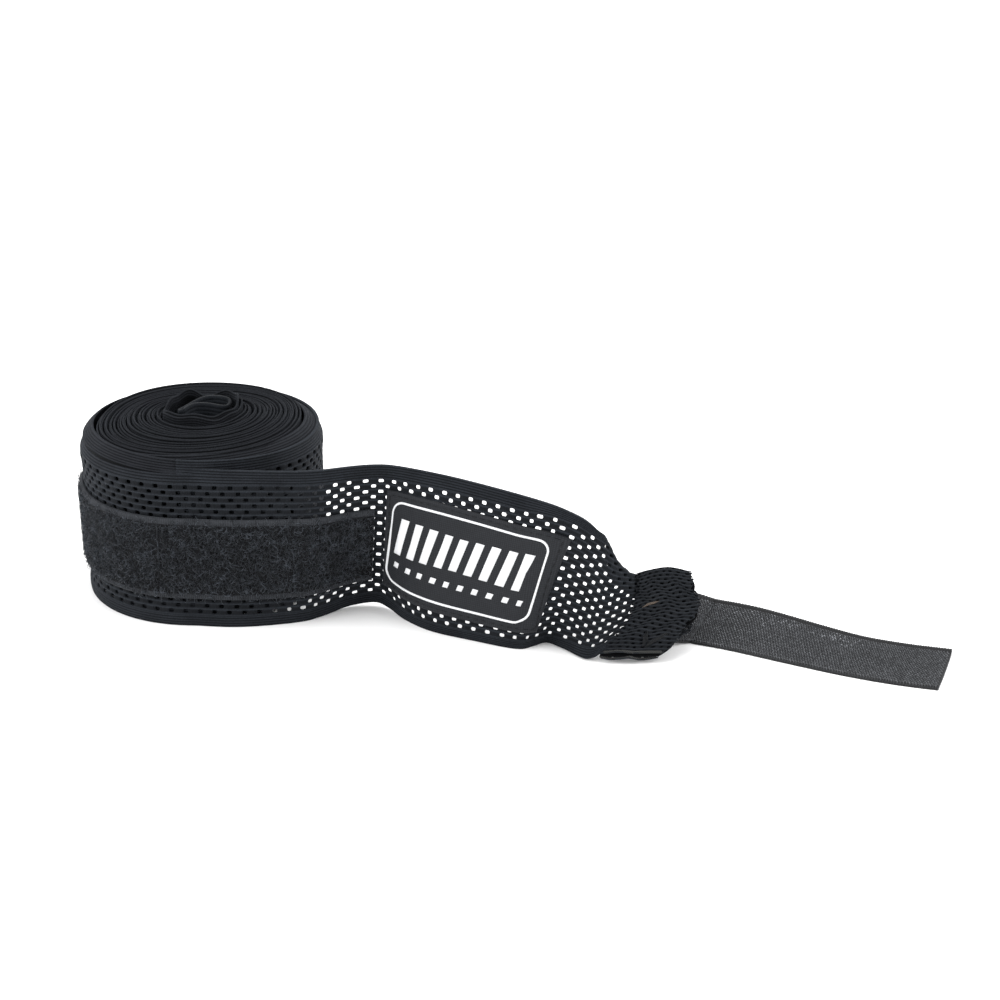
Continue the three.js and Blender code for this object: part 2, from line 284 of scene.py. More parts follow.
def on_free_end(u, v):
    """The free end; in the neck its upper part goes over a fold and down behind the front."""
    folded = smooth(u, NECK_FROM + 6, NECK_TO + 4)
    spread = share_of(u, v) * (1 + NECK_FOLD * folded)
    rim = 1 - 0.035 * folded
    past = np.maximum(spread - rim, 0)
    turned = np.clip(past / NECK_FOLD_TURN, 0, 1) * math.pi
    share = np.minimum(spread, rim) - np.maximum(past - NECK_FOLD_TURN, 0)
    point, out = ruled(FREE_END, u, share)
    top, _ = ruled(FREE_END, u, np.ones_like(share))
    bottom, _ = ruled(FREE_END, u, np.zeros_like(share))
    upwards = unit(top - bottom)
    root = 1 - smooth(u, 0, 26)
    curl = -1.4 * smooth(v, 43.5, 50) ** 1.3 * root - 0.5 * smooth(v, 45, 50) * (1 - root)
    curl = curl + 0.45 * (bump_at(v, 45.5, 3) + bump_at(v, 1.5, 3)) * root
    slack = 0.3 * np.sin(u / 7.3 + v / 15) * smooth(u, 10, 30) * (1 - smooth(u, 52, 60))
    pleats = 0.4 * np.sin(share * 22 + u / 9) * smooth(u, 124, 136) * smooth(v, 3, 10)
    sewn_in = smooth(u, 133, 145)
    pleats = pleats * (1 - 0.6 * sewn_in)
    behind = NECK_FOLD_RADIUS * (1 - np.cos(turned))
    point = point + out * (curl + slack + pleats + 0.35 * sewn_in - behind)[:, None]
    point = point + upwards * (NECK_FOLD_RADIUS * np.sin(turned))[:, None]
    point[:, 0] += 3.1 * np.sin(math.pi * share) * sewn_in
    return point, out * np.cos(turned)[:, None] + upwards * np.sin(turned)[:, None]


def on_band(u, v):
    """The whole outer stretch of the band, on the roll where u is below 0."""
    u, v = np.asarray(u, float), np.asarray(v, float)
    rolled, rolled_out = on_roll(turn_of(u), v)
    free, free_out = on_free_end(np.maximum(u, 0), v)
    on_it = (u < 0)[:, None]
    return np.where(on_it, rolled, free), np.where(on_it, rolled_out, free_out)


def on_folded_end(u, v):
    point, out = ruled(FOLDED_END, u, v)
    bulge = np.interp(u, [row[0] for row in FOLDED_END], [row[3] for row in FOLDED_END])
    point[:, 0] += bulge * np.sin(math.pi * np.clip(v, 0, 1))
    return point, out


def on_strap(u, v):
    u = u * (1 + STRAP_SKEW * v / STRAP_LENGTH)
    at = np.interp(u, [row[0] for row in STRAP_FRONT], np.arange(len(STRAP_FRONT))) / (len(STRAP_FRONT) - 1)
    rows = [(x, y, STRAP_THICKNESS / 2) for _, x, y in STRAP_FRONT]
    front, ahead = catmull_rom(rows, at)
    ahead = unit(ahead)
    tip = np.radians(STRAP_TIP_UP) * (1 - smooth(u, 5, 50))
    across = np.stack([-ahead[:, 1] * np.cos(tip), ahead[:, 0] * np.cos(tip), np.sin(tip)], -1)
    return front + across * v[:, None], unit(np.cross(ahead, across))


STRAP_LENGTH = 73.5
ROOT_LENGTH = 17.0
ROOT_ALONG, ROOT_FROM, ROOT_TO = 9, 0.24, 0.92  # where the strap is sewn behind the folded end
ROOT_BEHIND = 2.5


def on_hook_tape(u, v):
    """The whole strap: its root below u = 0, which turns from behind the folded end down to the floor."""
    share = v / STRAP_WIDTH
    back = smooth(-u / ROOT_LENGTH)
    flat, flat_out = on_strap(np.maximum(u, 0), v)
    sewn, sewn_out = on_folded_end(np.full_like(u, ROOT_ALONG), ROOT_FROM + (ROOT_TO - ROOT_FROM) * share)
    sewn = sewn - sewn_out * ROOT_BEHIND
    blend = back[:, None]
    return flat * (1 - blend) + sewn * blend, unit(flat_out * (1 - blend) + sewn_out * blend)


# ---- Flat patterns and meshes ----


def merge(flat, faces):
    """The same flat pattern with points that lie together made one."""
    keys = np.round(flat * 2000).astype(np.int64)
    _, first, index = np.unique(keys, axis=0, return_index=True, return_inverse=True)
    return flat[first], index.reshape(-1)[faces], first


def grid(us, vs):
    """A flat pattern of rectangles."""
    flat = np.stack(np.meshgrid(us, vs, indexing="ij"), -1).reshape(-1, 2)
    rows = len(vs)
    i, j = np.meshgrid(np.arange(len(us) - 1), np.arange(rows - 1), indexing="ij")
    a = (i * rows + j).reshape(-1)
    return flat, np.stack([a, a + rows, a + rows + 1, a + 1], -1)


def boundary_of(faces):
    """The edges that only one face has, in that face's direction."""
    edges = np.stack([faces, np.roll(faces, -1, axis=1)], -1).reshape(-1, 2)
    top = edges.max() + 1
    keys = edges[:, 0] * top + edges[:, 1]
    return edges[~np.isin(keys, edges[:, 1] * top + edges[:, 0])]


def add_object(name, data):
    made = bpy.data.objects.new(name, data)
    bpy.context.scene.collection.objects.link(made)
    return made


def add_mesh(name, points, faces, uv, material):
    """An object from points in the wrap's own frame, four-cornered faces and flat coordinates."""
    mesh = bpy.data.meshes.new(name)
    faces = np.asarray(faces, np.int32)
    corners = faces.reshape(-1)
    mesh.vertices.add(len(points))
    mesh.vertices.foreach_set("co", to_row(points).astype(np.float32).reshape(-1))
    mesh.loops.add(len(corners))
    mesh.loops.foreach_set("vertex_index", corners)
    mesh.polygons.add(len(faces))
    mesh.polygons.foreach_set("loop_start", np.arange(0, len(corners), faces.shape[1], dtype=np.int32))
    layer = mesh.uv_layers.new(name="flat")
    layer.data.foreach_set("uv", uv[corners].astype(np.float32).reshape(-1))
    mesh.update(calc_edges=True)
    mesh.validate()
    mesh.polygons.foreach_set("use_smooth", np.ones(len(mesh.polygons), bool))
    mesh.materials.append(material)
    return add_object(name, mesh)


def cloth(name, flat, faces, surface, front, back, material, rounding, cut=None):
    """A closed sheet: the flat pattern's front and back faces, with rounded walls round its edges and holes.

    front and back say how far out of the surface its faces are, for each point or for all.
    Where cut is true the next piece carries on, so the wall there is straight and its edges are sharp.
    """
    front, back = (np.broadcast_to(level, len(flat)) for level in (front, back))
    edges = boundary_of(faces)
    ahead = flat[edges[:, 1]] - flat[edges[:, 0]]
    outward = np.zeros_like(flat)
    sideways = unit(np.stack([ahead[:, 1], -ahead[:, 0]], -1))
    np.add.at(outward, edges[:, 0], sideways)
    np.add.at(outward, edges[:, 1], sideways)
    if cut is not None:
        outward[cut] = 0
    rim = np.unique(edges)
    middle = flat[rim] + unit(outward[rim]) * rounding
    count = len(flat)
    rim_index = np.zeros(count, int)
    rim_index[rim] = 2 * count + np.arange(len(rim))
    a, b = edges.T
    walls = [
        np.stack([b, a, rim_index[a], rim_index[b]], -1),
        np.stack([rim_index[b], rim_index[a], a + count, b + count], -1),
    ]
    point, out = surface(flat[:, 0], flat[:, 1])
    middle_point, middle_out = surface(middle[:, 0], middle[:, 1])
    halfway = (front + back)[rim] / 2
    edge = middle_point + middle_out * halfway[:, None]
    points = np.vstack([point + out * front[:, None], point + out * back[:, None], edge])
    all_faces = np.vstack([faces, faces[:, ::-1] + count, *walls])
    made = add_mesh(name, points, all_faces, np.vstack([flat, flat, middle]), material)
    if cut is not None:
        split_shading(made.data, np.concatenate([cut, cut, np.zeros(len(rim), bool)]))
    return made


def split_shading(mesh, chosen):
    """Makes every edge between two chosen points sharp, so that a cut shows no line."""
    ends = np.empty(2 * len(mesh.edges), np.int32)
    mesh.edges.foreach_get("vertices", ends)
    sharp = mesh.attributes.new("sharp_edge", "BOOLEAN", "EDGE")
    sharp.data.foreach_set("value", chosen[ends.reshape(-1, 2)].all(axis=1))


def tubes(name, paths, radius, sides, uv, material):
    """Fine fibres: one closed tube for each path, all with the same number of points."""
    count, length, _ = paths.shape
    ahead = unit(np.gradient(paths, axis=1) + 1e-9)
    helper = np.where(np.abs(ahead[..., 2:]) > 0.8, [[[1.0, 0, 0]]], [[[0, 0, 1.0]]])
    side = unit(np.cross(ahead, helper))
    other = np.cross(ahead, side)
    turn = 2 * math.pi * np.arange(sides) / sides
    ring = side[:, :, None] * np.cos(turn)[:, None] + other[:, :, None] * np.sin(turn)[:, None]
    taper = np.full(length, 1.0)
    taper[[0, -1]] = 0.3
    points = (paths[:, :, None] + ring * (radius * taper)[None, :, None, None]).reshape(-1, 3)
    here = np.arange(count * length).reshape(count, length)[:, :-1, None] * sides
    k = np.arange(sides)
    after = (k + 1) % sides
    walls = np.stack([here + k, here + after, here + sides + after, here + sides + k], -1).reshape(-1, 4)
    spread = np.repeat(np.repeat(uv[:, None], length, 1)[:, :, None], sides, 2).reshape(-1, 2)
    return add_mesh(name, points, walls, spread, material)


def standing(surface, u, v, lift):
    """Points that stand out of a surface by the lift, with one row of u and v for each path."""
    point, out = surface(u.reshape(-1), v.reshape(-1))
    lift = np.broadcast_to(lift, u.shape).reshape(-1, 1)
    return (point + out * lift).reshape(*u.shape, 3)


# ---- The knitted band ----


def relief(v):
    """How far the lengthwise ribs of the two selvages stand out of the cloth."""
    ribs = np.abs(np.cos(math.pi * np.minimum(v, BAND_WIDTH - v) / RIB))
    return np.where((v < NET_LOW + 0.01) | (v > NET_HIGH - 0.01), 0.2 * np.sqrt(ribs), 0)


def hole_cell(pitch, row_height, hole_half, lip=0.16):
    """One hole of the net with its share of the cloth: flat points, their relief, and faces."""
    outer = np.array([(-1, -1), (-0.5, -1), (0, -1), (0.5, -1), (1, -1), (1, 0)])
    inner = np.array([(-0.93, -0.6), (-0.62, -0.97), (0, -1), (0.62, -0.97), (0.93, -0.6), (1, 0)])
    outer, inner = (np.vstack([half, -half]) for half in (outer, inner))
    outer = outer * (pitch / 2, row_height / 2)
    rib, valley, edge = 0.16, -0.04, -0.06
    heights = ([rib] * 5 + [valley]) * 2 + [0.05] * 12 + [edge] * 12
    k = np.arange(12)
    after = (k + 1) % 12
    faces = [np.stack([k, after, after + 12, k + 12], -1) + ring * 12 for ring in range(2)]
    points = np.vstack([outer, inner * (np.array(hole_half) + lip), inner * hole_half])
    return points, np.array(heights), np.vstack(faces)


def net_cells(first, last, rows, low, cell_of):
    """Staggered rows of holes: lists of flat points, faces and relief, and how many points there are.

    In the band's gathered neck the holes are drawn shorter and higher.
    """
    pitch, row_height = cell_of[:2]
    cell, heights, cell_faces = hole_cell(*cell_of)
    patterns, faces, reliefs, count = [], [], [], 0
    for row in range(rows):
        columns = np.arange(first, last) + 0.5 + 0.5 * (row % 2)
        centres = np.stack([columns * pitch, np.full(len(columns), low + (row + 0.5) * row_height)], -1)
        spread = np.repeat(cell[None], len(columns), axis=0)
        in_neck = smooth(centres[:, :1], NECK_FROM - 8, NECK_FROM + 5)
        spread[:, 12:, 0] *= 1 - 0.24 * in_neck
        spread[:, 12:, 1] *= 1 + 0.1 * in_neck
        patterns.append((centres[:, None] + spread).reshape(-1, 2))
        starts = count + np.arange(len(columns))[:, None, None] * len(cell)
        faces.append((cell_faces[None] + starts).reshape(-1, 4))
        reliefs.append(np.tile(heights, len(columns)))
        count += len(patterns[-1])
    return patterns, faces, reliefs, count


def net_pattern(first, last):
    """The band's flat pattern from one hole to another: two ribbed selvages and a staggered net between.

    The last array is true where the next stretch of the band carries on.
    """
    patterns, faces, reliefs, count = net_cells(
        first, last, HOLE_ROWS, NET_LOW, (HOLE_PITCH, ROW_HEIGHT, HOLE_HALF))
    along = np.arange(first * 4, last * 4 + 1) * HOLE_PITCH / 4
    for low, high in ((0, NET_LOW), (NET_HIGH, BAND_WIDTH)):
        flat, quads = grid(along, steps(low, high, RIB / 4))
        patterns.append(flat)
        faces.append(quads + count)
        reliefs.append(relief(flat[:, 1]))
        count += len(flat)
    flat, faces, kept = merge(np.vstack(patterns), np.vstack(faces))
    heights = np.concatenate(reliefs)[kept]
    edge_points = np.zeros(len(flat), bool)
    edge_points[boundary_of(faces)] = True
    u, v = flat.T
    near_end = (u < (first + 0.5) * HOLE_PITCH + 0.01) | (u > last * HOLE_PITCH - 0.01)
    of_hole = heights < -0.05
    cut = edge_points & near_end & ~of_hole & (v > 0.01) & (v < BAND_WIDTH - 0.01)
    return flat, faces, heights, cut


def net_cloth(name, first, last):
    flat, faces, heights, cut = net_pattern(first, last)
    front, back = BAND_HALF + heights, -BAND_HALF - heights
    return cloth(name, flat, faces, on_band, front, back, BAND, 0.14, cut)


def inner_turns():
    """All the turns that the last one hides but for their upper selvages."""
    start = float(turn_of(CUT_TURN * HOLE_PITCH))
    turns = steps(start, TURNS, 1 / 96)
    hidden = [np.linspace(0, NET_LOW, 5)[:-1], np.linspace(NET_LOW, NET_HIGH, 5)[:-1]]
    heights = np.concatenate([*hidden, steps(NET_HIGH, BAND_WIDTH, RIB / 4)])
    flat, faces = grid(-wound(turns), heights)
    faces = faces[:, ::-1]  # the turns run inwards, so this keeps the front outside
    v = flat[:, 1]
    thinner = 0.08 * smooth(v, 8, 14) * (1 - smooth(v, 36, 42))
    half = 0.25 + 0.35 * relief(v) - thinner - 0.06 * smooth(v, 48.6, 50)
    second = 1 - smooth(turn_of(flat[:, 0]), 1.8, 2.3)
    half = half + second * (0.05 + 0.55 * relief(v))
    return cloth("band_inner_turns", flat, faces, on_band, half, -half, INNER_SHADED, np.array([0, 0.24]))


# ---- Sewn layers ----


def loop_tape(name, start, end):
    """The woven ground of the loop tape, with a whipped border along both edges."""
    us = steps(start, end, 0.16)
    border = np.linspace(0, TAPE_BORDER, 7)
    ground = np.linspace(TAPE_BORDER, TAPE_WIDTH - TAPE_BORDER, 14)[1:-1]
    vs = TAPE_LOW + np.concatenate([border, ground, TAPE_WIDTH - border[::-1]])
    flat, faces = grid(us, vs)
    u, v = flat.T
    from_edge = np.minimum(v - TAPE_LOW, TAPE_LOW + TAPE_WIDTH - v)
    whip = 0.22 * np.abs(np.sin(math.pi * u / WHIP_PITCH))
    whip = whip * np.sin(math.pi * np.clip(from_edge / TAPE_BORDER, 0, 1))
    thick = 0.35 * smooth(from_edge, 0, 0.4) + 0.35
    front = BAND_HALF + 0.25 + thick + np.where(from_edge < TAPE_BORDER, whip + 0.25, 0)
    cut = np.abs(u - CUT_LEAD * HOLE_PITCH) < 0.01
    return cloth(name, flat, faces, on_band, front, BAND_HALF + 0.2, TAPE_GROUND, 0.05, cut)


def pile(name, start, end, seed):
    """The fuzz of the loop tape: short curled fibres that lie every way."""
    random = np.random.default_rng(seed)
    count = int((end - start) * (TAPE_WIDTH - 2 * TAPE_BORDER) * 3.0)
    u = random.uniform(start + 0.3, end - 0.3, count)
    v = random.uniform(TAPE_LOW + TAPE_BORDER - 0.3, TAPE_LOW + TAPE_WIDTH - TAPE_BORDER + 0.3, count)
    heading = random.uniform(0, 2 * math.pi, count)
    bend = random.normal(0, 1.8, count)
    length = random.uniform(1.2, 3.6, count)
    height = random.uniform(0.3, 1.4, count)
    t = np.linspace(0, 1, 6)
    turning = heading[:, None] + bend[:, None] * t
    step = length[:, None] / (len(t) - 1)
    across = np.cumsum(np.sin(turning) * step, 1)
    along = np.cumsum(np.cos(turning) * step, 1)
    lift = BAND_HALF + 0.85 + height[:, None] * np.sin(math.pi * t) ** 0.7
    place_u = np.clip(u[:, None] + along, start, end)
    place_v = v[:, None] + across
    shade = np.stack([random.uniform(0, 1, count), random.uniform(0, 1, count)], -1)
    return tubes(name, standing(on_band, place_u, place_v, lift), 0.075, 3, shade, PILE)


LABEL_FACE = BAND_HALF + 0.3 + 0.5


def on_label(x, y):
    """A point given from the label's lower left corner; the upper edge is pulled a little longer."""
    return LABEL_START + x * (1 + 0.0016 * y), LABEL_LOW + y + LABEL_TILT * x


def label_sheet():
    flat, faces = grid(np.linspace(0, LABEL_LONG, 90), np.linspace(0, LABEL_HEIGHT, 36))
    x, y = flat.T
    edge = np.minimum.reduce([x, LABEL_LONG - x, y, LABEL_HEIGHT - y])
    pulled = 0.18 * bump_at(edge, 1.4, 0.5)
    puffed = 0.1 * smooth(edge, 2, 9)
    front = LABEL_FACE - pulled + puffed - 0.1 * (1 - smooth(edge, 0, 0.5))
    flat = np.stack(on_label(x, y), -1)
    return cloth("label_satin", flat, faces, on_band, front, BAND_HALF + 0.15, SATIN, 0.06)


def raised(name, patches):
    """Woven-in figures: each patch has four corners on the label and is filled with a fine grid."""
    faces, flats, count = [], [], 0
    for corners, columns, rows in patches:
        inside, quads = grid(np.linspace(0, 1, columns + 1), np.linspace(0, 1, rows + 1))
        s, t = inside[:, :1], inside[:, 1:]
        a, b, c, d = (np.array(on_label(*corner)) for corner in corners)
        flat = (a * (1 - s) + b * s) * (1 - t) + (d * (1 - s) + c * s) * t
        flats.append(flat)
        faces.append(quads + count)
        count += len(flat)
    flat, faces, _ = merge(np.vstack(flats), np.vstack(faces))
    return cloth(name, flat, faces, on_band, LABEL_FACE + 0.15, LABEL_FACE - 0.12, WHITE, 0.04)


def woven_in(x, y):
    """The label's figures lean a little more than its edges do."""
    return x + 0.07 * (y - LABEL_HEIGHT / 2), y


def frame_patches():
    """The label's woven frame: a rounded rectangle, cut into short four-cornered pieces."""
    radius, width = 4.0, 0.62
    left, right = 2.0 + radius, LABEL_LONG - 4.6 - radius
    bottom, top = 3.2 + radius, LABEL_HEIGHT - 3.0 - radius
    inner, outer = [], []
    for corner, (x, y) in enumerate(((right, top), (left, top), (left, bottom), (right, bottom))):
        for k in range(7):
            angle = math.pi / 2 * (corner + k / 6)
            for line, r in ((inner, radius - width / 2), (outer, radius + width / 2)):
                line.append(woven_in(x + r * math.cos(angle), y + r * math.sin(angle)))
    patches = zip(outer, outer[1:] + outer[:1], inner[1:] + inner[:1], inner)
    return [(corners, max(1, round(math.dist(*corners[2:]) / 1.2)), 2) for corners in patches]


def leaning_patch(x, y, width, high, lean, columns, rows):
    corners = [(x, y), (x + width, y), (x + width + lean, y + high), (x + lean, y + high)]
    return [woven_in(*corner) for corner in corners], columns, rows


def motif_patches():
    """A generic sports stripe: a row of leaning bars over a row of small squares."""
    bars = [leaning_patch(4.6 + k * 5.05, 14.6 - 0.25 * abs(k - 4), 2.7, 10.4 + 0.5 * abs(k - 4), 1.5, 3, 8)
            for k in range(9)]
    squares = [leaning_patch(5.2 + k * 4.75, 8.9, 1.8, 1.8, 0.3, 2, 2) for k in range(10)]
    return bars + squares


# ---- The folded end, the strap and the thumb loop ----


def pinches(u):
    """0 where a stitch holds the folded end's layers together, 1 halfway between two stitches."""
    return np.abs(np.sin(math.pi * (u / HEM_LENGTH * 2 - 0.06)))


def scallop(u, share):
    """How far the folded end's ragged right end waves in and out."""
    return 0.9 * np.sin(share * math.pi * 5) * smooth(u, 11, 18)


def on_hem(u, v):
    """The folded end's outer layer: v runs up the front, over the top and down the back."""
    back = v > HEM_TOP
    from_top = np.abs(v - HEM_TOP)
    bend = HEM_FOLD * math.pi / 2
    over = np.clip(from_top / bend, 0, 1) * math.pi / 2
    share = 0.98 - np.maximum(from_top - bend, 0) / HEM_HEIGHT + HEM_FOLD * np.cos(over) / HEM_HEIGHT
    low = 1 - smooth(share, 0.03, 0.25)
    held = pinches(u)
    side = HEM_FOLD * np.sin(over) * (1 - low * (0.85 - 0.3 * held)) + np.where(back, 0.55, 0.3) * low * held
    ripple = 0.22 * np.sin(v / 2.4 + u / 3) * smooth(u, 1, 8) + 0.16 * np.sin(v / 1.3 - u / 1.9)
    uneven = 0.013 * np.sin(0.9 * u + 2.3 * np.sin(0.35 * v))
    uneven = uneven * smooth(share, 0.1, 0.3) * (1 - smooth(share, 0.8, 0.95))
    point, out = on_folded_end(u * 0.98, share + uneven + np.where(back, -0.045, 0.0) * low)
    point = point + out * (np.where(back, -side, side) + ripple)[:, None]
    point[:, 0] += scallop(u, v / HEM_TOP) + 0.26 * np.sin(v * 1.7 + 1.3 * np.sin(0.8 * u))
    point[:, 2] = np.maximum(point[:, 2], 0.4)
    return point, out * np.where(back, -1, 1)[:, None]


def folded_end():
    """The band's end folded over lengthwise: a front layer that rolls over the top into a back layer."""
    cell_of = (HEM_PITCH, HEM_ROW, HEM_HOLE, 0.12)
    patterns, faces, reliefs, _ = net_cells(0, round(HEM_LENGTH / HEM_PITCH), HEM_ROWS, 0, cell_of)
    flat, faces, kept = merge(np.vstack(patterns), np.vstack(faces))
    heights = np.concatenate(reliefs)[kept] * 0.7
    thin = 0.24
    return cloth("band_folded_cloth", flat, faces, on_hem, thin + heights, -thin - heights, FOLDED, 0.08)


def folded_edges():
    """The bound lower edges of the folded end's front and back layers."""
    u, v = np.meshgrid(np.linspace(0.3, HEM_LENGTH - 0.2, 60), (0.3, 2 * HEM_TOP - 0.3))
    shade = np.array([[0.5, 0.5], [0.6, 0.4]])
    return tubes("band_folded_edges", standing(on_hem, u, v, 0), 0.42, 8, shade, EDGE_THREAD)


def folded_in():
    """The layer that is folded inside the end, which shows through its holes and in its open lower edge."""
    flat, faces = grid(np.linspace(0.4, HEM_LENGTH - 0.2, 36), np.linspace(0.02, 1.034, 40))

    def surface(u, v):
        point, out = on_folded_end(u, v)
        point[:, 0] += scallop(u, np.minimum(v, 1)) + 0.3 * smooth(u, 15, 18) * smooth(v, 0.9, 1)
        low = 1 - smooth(v, 0.03, 0.25)
        return point - out * (0.3 - 0.1 * low)[:, None], out

    # Its material is painted near black, as painted shade inside the fold.
    return cloth("band_folded_inside", flat, faces, surface, 0.2, -0.2, INSIDE_SHADED, 0.0)


def hook_ground():
    """The strap's woven ground, with small teeth along both edges and a rolled rear selvage."""
    flat, faces = grid(steps(-ROOT_LENGTH, STRAP_LENGTH, 0.2), steps(0, STRAP_WIDTH, 0.35))
    u, v = flat.T
    teeth = np.abs(np.sin(math.pi * u / 0.8)) * np.where(np.minimum(v, STRAP_WIDTH - v) < 1.3, 0.2, 0)
    rolled = 0.8 * (1 - smooth(STRAP_WIDTH - v, 1.0, 1.5))
    front = -0.15 + teeth + rolled - 0.25 * (1 - smooth(v, 0.2, 1.2))
    return cloth("hook_tape_ground", flat, faces, on_hook_tape, front, -0.72, HOOK_GROUND, 0.08)


def hooks(name, start, end, seed):
    """Rows of small nylon hooks, bent over by turns towards each side."""
    random = np.random.default_rng(seed)
    u, v = grid(np.arange(start, end, 0.82), np.arange(0.45, STRAP_WIDTH - 1.4, 0.84))[0].T
    side = np.where(np.round(v / 0.84) % 2 == 0, 1.0, -1.0)
    u = u + random.normal(0, 0.03, len(u))
    v = v + random.normal(0, 0.05, len(v))
    reach = np.array([0, 0.0, 0.08, 0.26, 0.42, 0.46])
    lift = np.array([-0.2, 0.22, 0.5, 0.64, 0.52, 0.34])
    place_u = u[:, None] + side[:, None] * reach
    place_v = v[:, None] + random.normal(0, 0.06, (len(v), 1)) * reach / 0.6
    paths = standing(on_hook_tape, place_u, place_v, lift)
    # Painted highlights: about one hook in eight near the rear edge, short of the far end, is painted at
    # full light as a glint, and hooks near the root are painted lighter.
    glint = random.uniform(0, 1, len(u)) < 0.12 * bump_at(v, 20, 3) * (1 - smooth(u, 35, 55))
    tone = np.where(glint, 1.0, random.uniform(0.25, 0.62, len(u))) * (1 + 0.22 * (1 - smooth(u, 8, 40)))
    shade = np.stack([tone, random.uniform(0, 1, len(u))], -1)
    return tubes(name, paths, 0.12, 4, shade, HOOKS)


THUMB_PATH = [
    (-5.2, -2.9), (-3.6, 0.2), (-1.6, 2.2), (2, 2.8), (5.4, 2.2), (7.5, 2.8), (8.1, 5.2),
    (7.5, 7.5), (5.4, 8.4), (2.4, 8.9), (-0.4, 8.4), (-2.8, 6.2), (-5, 2.4), (-6.6, -1), (-6.4, -2.9),
]
THUMB_LOW, THUMB_HEIGHT = 31.2, 25.0


def thumb_loop():
    """A flat closed loop of ribbed tape, standing in the core."""
    path = [(x, y, 0) for x, y in THUMB_PATH + THUMB_PATH[:1]]
    around_it, rows_up = 120, 100

    def surface(u, v):
        point, ahead = catmull_rom(path, (u / around_it) % 1.0)
        out = unit(np.stack([ahead[:, 1], -ahead[:, 0], np.zeros(len(u))], -1))
        sway = 0.5 * np.sin(u / around_it * 4 * math.pi + 0.5)
        point[:, 1] += 1.2
        point[:, 2] = THUMB_LOW + v + sway
        return point, out

    flat, faces = grid(np.arange(around_it + 1), np.linspace(0, THUMB_HEIGHT, rows_up))
    ring = len(flat) - rows_up
    faces = np.where(faces >= ring, faces - ring, faces)
    flat = flat[:ring]
    thick = 0.38 + 0.1 * np.abs(np.sin(math.pi * flat[:, 1] / 1.25))
    return cloth("thumb_loop_tape", flat, faces, surface, thick, -thick, THUMB, 0.0)


# ---- Stitches ----


def stitches(name, surface, starts, ends, lift, material, thread):
    """Short raised runs of thread from each start to its end, both flat points."""
    starts, ends = np.asarray(starts, float), np.asarray(ends, float)
    t = np.linspace(0, 1, 6)
    flat = starts[:, None] * (1 - t)[None, :, None] + ends[:, None] * t[None, :, None]
    rise = lift + thread * (np.sin(math.pi * t) ** 0.5 - 0.4)
    paths = standing(surface, flat[..., 0], flat[..., 1], rise)
    shade = np.stack([np.arange(len(starts)) % 7 / 7, np.arange(len(starts)) % 5 / 5], -1)
    return tubes(name, paths, thread, 6, shade, material)


def run_along(points):
    """Starts and ends of a seam's stitches, one about every 2.6 mm along a line of flat points."""
    starts, ends = [], []
    for a, b in zip(points[:-1], points[1:]):
        a, b = np.array(a, float), np.array(b, float)
        count = max(1, round(np.linalg.norm(b - a) / 2.6))
        for k in range(count):
            starts.append(a + (b - a) * (k + 0.1) / count)
            ends.append(a + (b - a) * (k + 0.9) / count)
    return starts, ends


# ---- Materials ----


def node(tree, kind, inputs=(), **settings):
    """A shader node; an input is given as a plain value, as another node's socket or as a Signal."""
    made = tree.nodes.new(kind)
    for key, value in settings.items():
        setattr(made, key, value)
    for key, value in dict(inputs).items():
        value = getattr(value, "socket", value)
        if isinstance(value, bpy.types.NodeSocket):
            tree.links.new(value, made.inputs[key])
        else:
            made.inputs[key].default_value = value
    return made


class Signal:
    """A shader value that plain arithmetic can be written with."""

    def __init__(self, tree, socket):
        self.tree, self.socket = tree, socket

    def maths(self, operation, other=0.0):
        made = node(self.tree, "ShaderNodeMath", {0: self, 1: other}, operation=operation)
        return Signal(self.tree, made.outputs[0])

    def __add__(self, other):
        return self.maths("ADD", other)

    def __mul__(self, other):
        return self.maths("MULTIPLY", other)

    def __sub__(self, other):
        return self.maths("SUBTRACT", other)

    def __rsub__(self, other):
        return self * -1.0 + other

    def __pow__(self, other):
        return self.maths("POWER", other)


def wave(coordinate, pitch):
    """A smooth ridge every pitch, from 0 to 1."""
    return (coordinate * (math.pi / pitch)).maths("SINE").maths("ABSOLUTE")


def beyond(coordinate, low, high):
    """1 outside the two limits, 0 between them."""
    return (coordinate - (low + high) / 2).maths("ABSOLUTE").maths("GREATER_THAN", (high - low) / 2)


def flat_coordinates(tree):
    """The flat pattern's coordinates in millimetres: both together, along the cloth and across it."""
    both = node(tree, "ShaderNodeTexCoord").outputs["UV"]
    parts = node(tree, "ShaderNodeSeparateXYZ", {0: both})
    return both, Signal(tree, parts.outputs[0]), Signal(tree, parts.outputs[1])


def noise(tree, vector, scale, detail):
    made = node(tree, "ShaderNodeTexNoise", {"Vector": vector, "Scale": scale, "Detail": detail})
    return Signal(tree, made.outputs["Fac"])


def paint(tree, shader, tone, dark, light):
    """Colours the shader from dark to light as the tone goes from 0 to 1."""
    made = node(tree, "ShaderNodeMix", {0: tone}, data_type="RGBA")
    made.inputs[6].default_value = (*dark, 1)
    made.inputs[7].default_value = (*light, 1)
    tree.links.new(made.outputs[2], shader.inputs["Base Color"])


def set_bump(tree, shader, height, distance):
    made = node(tree, "ShaderNodeBump", {"Height": height, "Distance": distance})
    tree.links.new(made.outputs[0], shader.inputs["Normal"])


def surface_finish(name, roughness, sheen, sheen_colour, specular):
    material = bpy.data.materials.new(name)
    material.use_nodes = True
    tree = material.node_tree
    shader = tree.nodes["Principled BSDF"]
    values = {"Roughness": roughness, "Specular IOR Level": specular, "Sheen Weight": sheen,
              "Sheen Roughness": 0.45, "Sheen Tint": (*sheen_colour, 1)}
    for key, value in values.items():
        shader.inputs[key].default_value = value
    return material, tree, shader


